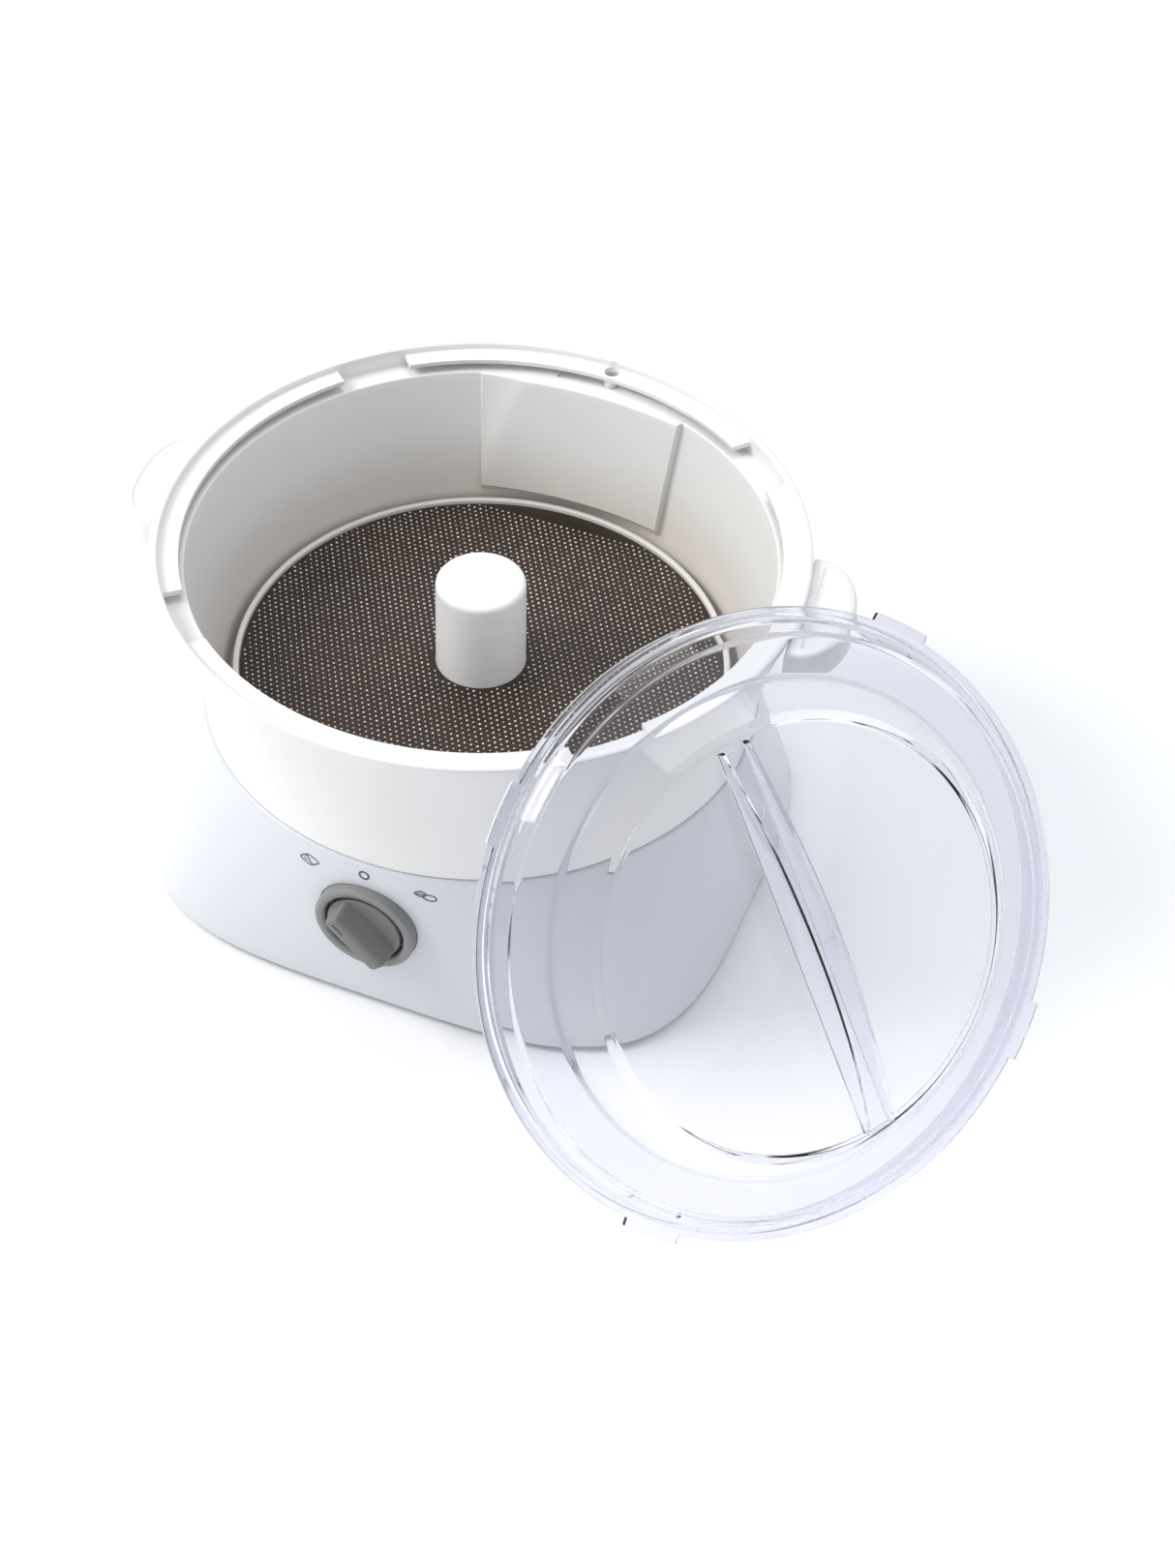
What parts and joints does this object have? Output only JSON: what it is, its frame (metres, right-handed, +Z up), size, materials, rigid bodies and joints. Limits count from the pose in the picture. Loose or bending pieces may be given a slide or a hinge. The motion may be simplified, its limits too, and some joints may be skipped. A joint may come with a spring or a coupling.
{
  "type": "electric potato peeler",
  "caption": "Electric potato peeler: rounded-square base, lift-off drum with abrasive disc and centre post, selector knob, clear bayonet lid leaning on the rim.",
  "frame": {"origin": "on the spindle's axis, in the plane of the bottom cover's underside; the feet and the leaning lid reach 3 mm below it", "axes": "+Z up the spindle, -Y out of the front panel with the knob, +X towards the ear beside the leaning lid"},
  "size_m": [0.3974, 0.3253, 0.1991],
  "materials": {
    "white_shell": "smooth gloss, cool white",
    "white_drum": "fine satin, warm white",
    "clear_lid": "clear, faint violet tint",
    "knob_grey": "satin mid grey",
    "bezel_grey": "satin grey",
    "black_plastic": "matt black",
    "abrasive": "dark brown grit-coated sheet",
    "steel": "bright zinc and steel",
    "dark_steel": "dark grey cast and sheet metal",
    "copper": "enamelled copper windings",
    "rubber": "matt black rubber",
    "board_green": "green circuit board"
  },
  "bodies": {
    "base": {"base_housing": "white_shell", "bottom_cover": "white_shell", "cover_screw_front_left": "steel", "cover_screw_front_right": "steel", "cover_screw_rear_right": "steel", "cover_screw_rear_left": "steel", "foot_front_left": "rubber", "foot_front_right": "rubber", "foot_rear_right": "rubber", "foot_rear_left": "rubber", "cord_inlet": "black_plastic", "bearing_housing": "dark_steel", "lower_bearing": "steel", "upper_bearing": "steel", "shaft_seal": "rubber", "motor_can": "steel", "motor_end_cap": "dark_steel", "motor_bracket": "dark_steel", "motor_screw_1": "steel", "motor_screw_2": "steel", "drive_belt": "rubber", "lid_sensor": "black_plastic", "knob_bezel": "bezel_grey", "selector_switch": "black_plastic", "control_board": "board_green"},
    "drum": {"drum": "white_drum"},
    "disc": {"disc_carrier": "white_drum", "abrasive_sheet": "abrasive", "centre_post": "white_shell", "drive_coupling": "black_plastic"},
    "spindle": {"drive_spindle": "steel", "driven_pulley": "black_plastic", "retaining_clip": "steel"},
    "rotor": {"motor_rotor": "copper", "motor_fan": "black_plastic", "motor_pulley": "black_plastic"},
    "knob": {"knob": "knob_grey"},
    "interlock": {"interlock_rod": "white_drum"},
    "lid": {"lid_shell": "clear_lid", "lid_handle": "clear_lid"}
  },
  "joints": [
    {"name": "drum_lift", "type": "slide", "parent": "base", "child": "drum", "axis": [0, 0, 1], "range_m": [0, 0.12]},
    {"name": "disc_spin", "type": "hinge", "parent": "drum", "child": "disc", "pos_m": [0, 0, 0.09], "axis": [0, 0, 1], "continuous": true},
    {"name": "spindle_spin", "type": "hinge", "parent": "base", "child": "spindle", "pos_m": [0, 0, 0.05], "axis": [0, 0, 1], "continuous": true},
    {"name": "rotor_spin", "type": "hinge", "parent": "base", "child": "rotor", "pos_m": [0.058, 0.042, 0.04], "axis": [0, 0, 1], "continuous": true},
    {"name": "knob_turn", "type": "hinge", "parent": "base", "child": "knob", "pos_m": [0, -0.1136, 0.047], "axis": [0, 0.9999, 0.0123], "range_deg": [0, 90]},
    {"name": "interlock_press", "type": "slide", "parent": "drum", "child": "interlock", "axis": [-0.0135, -0.1927, -0.9812], "range_m": [0, 0.003], "stiffness_N_per_m": 250},
    {"name": "lid_lift", "type": "slide", "parent": "drum", "child": "lid", "axis": [0.6341, -0.5416, 0.5519], "range_m": [0, 0.15]}
  ],
  "couplings": [
    {"joint": "spindle_spin", "follows": "disc_spin", "ratio": 1},
    {"joint": "rotor_spin", "follows": "disc_spin", "ratio": 4.6364}
  ]
}
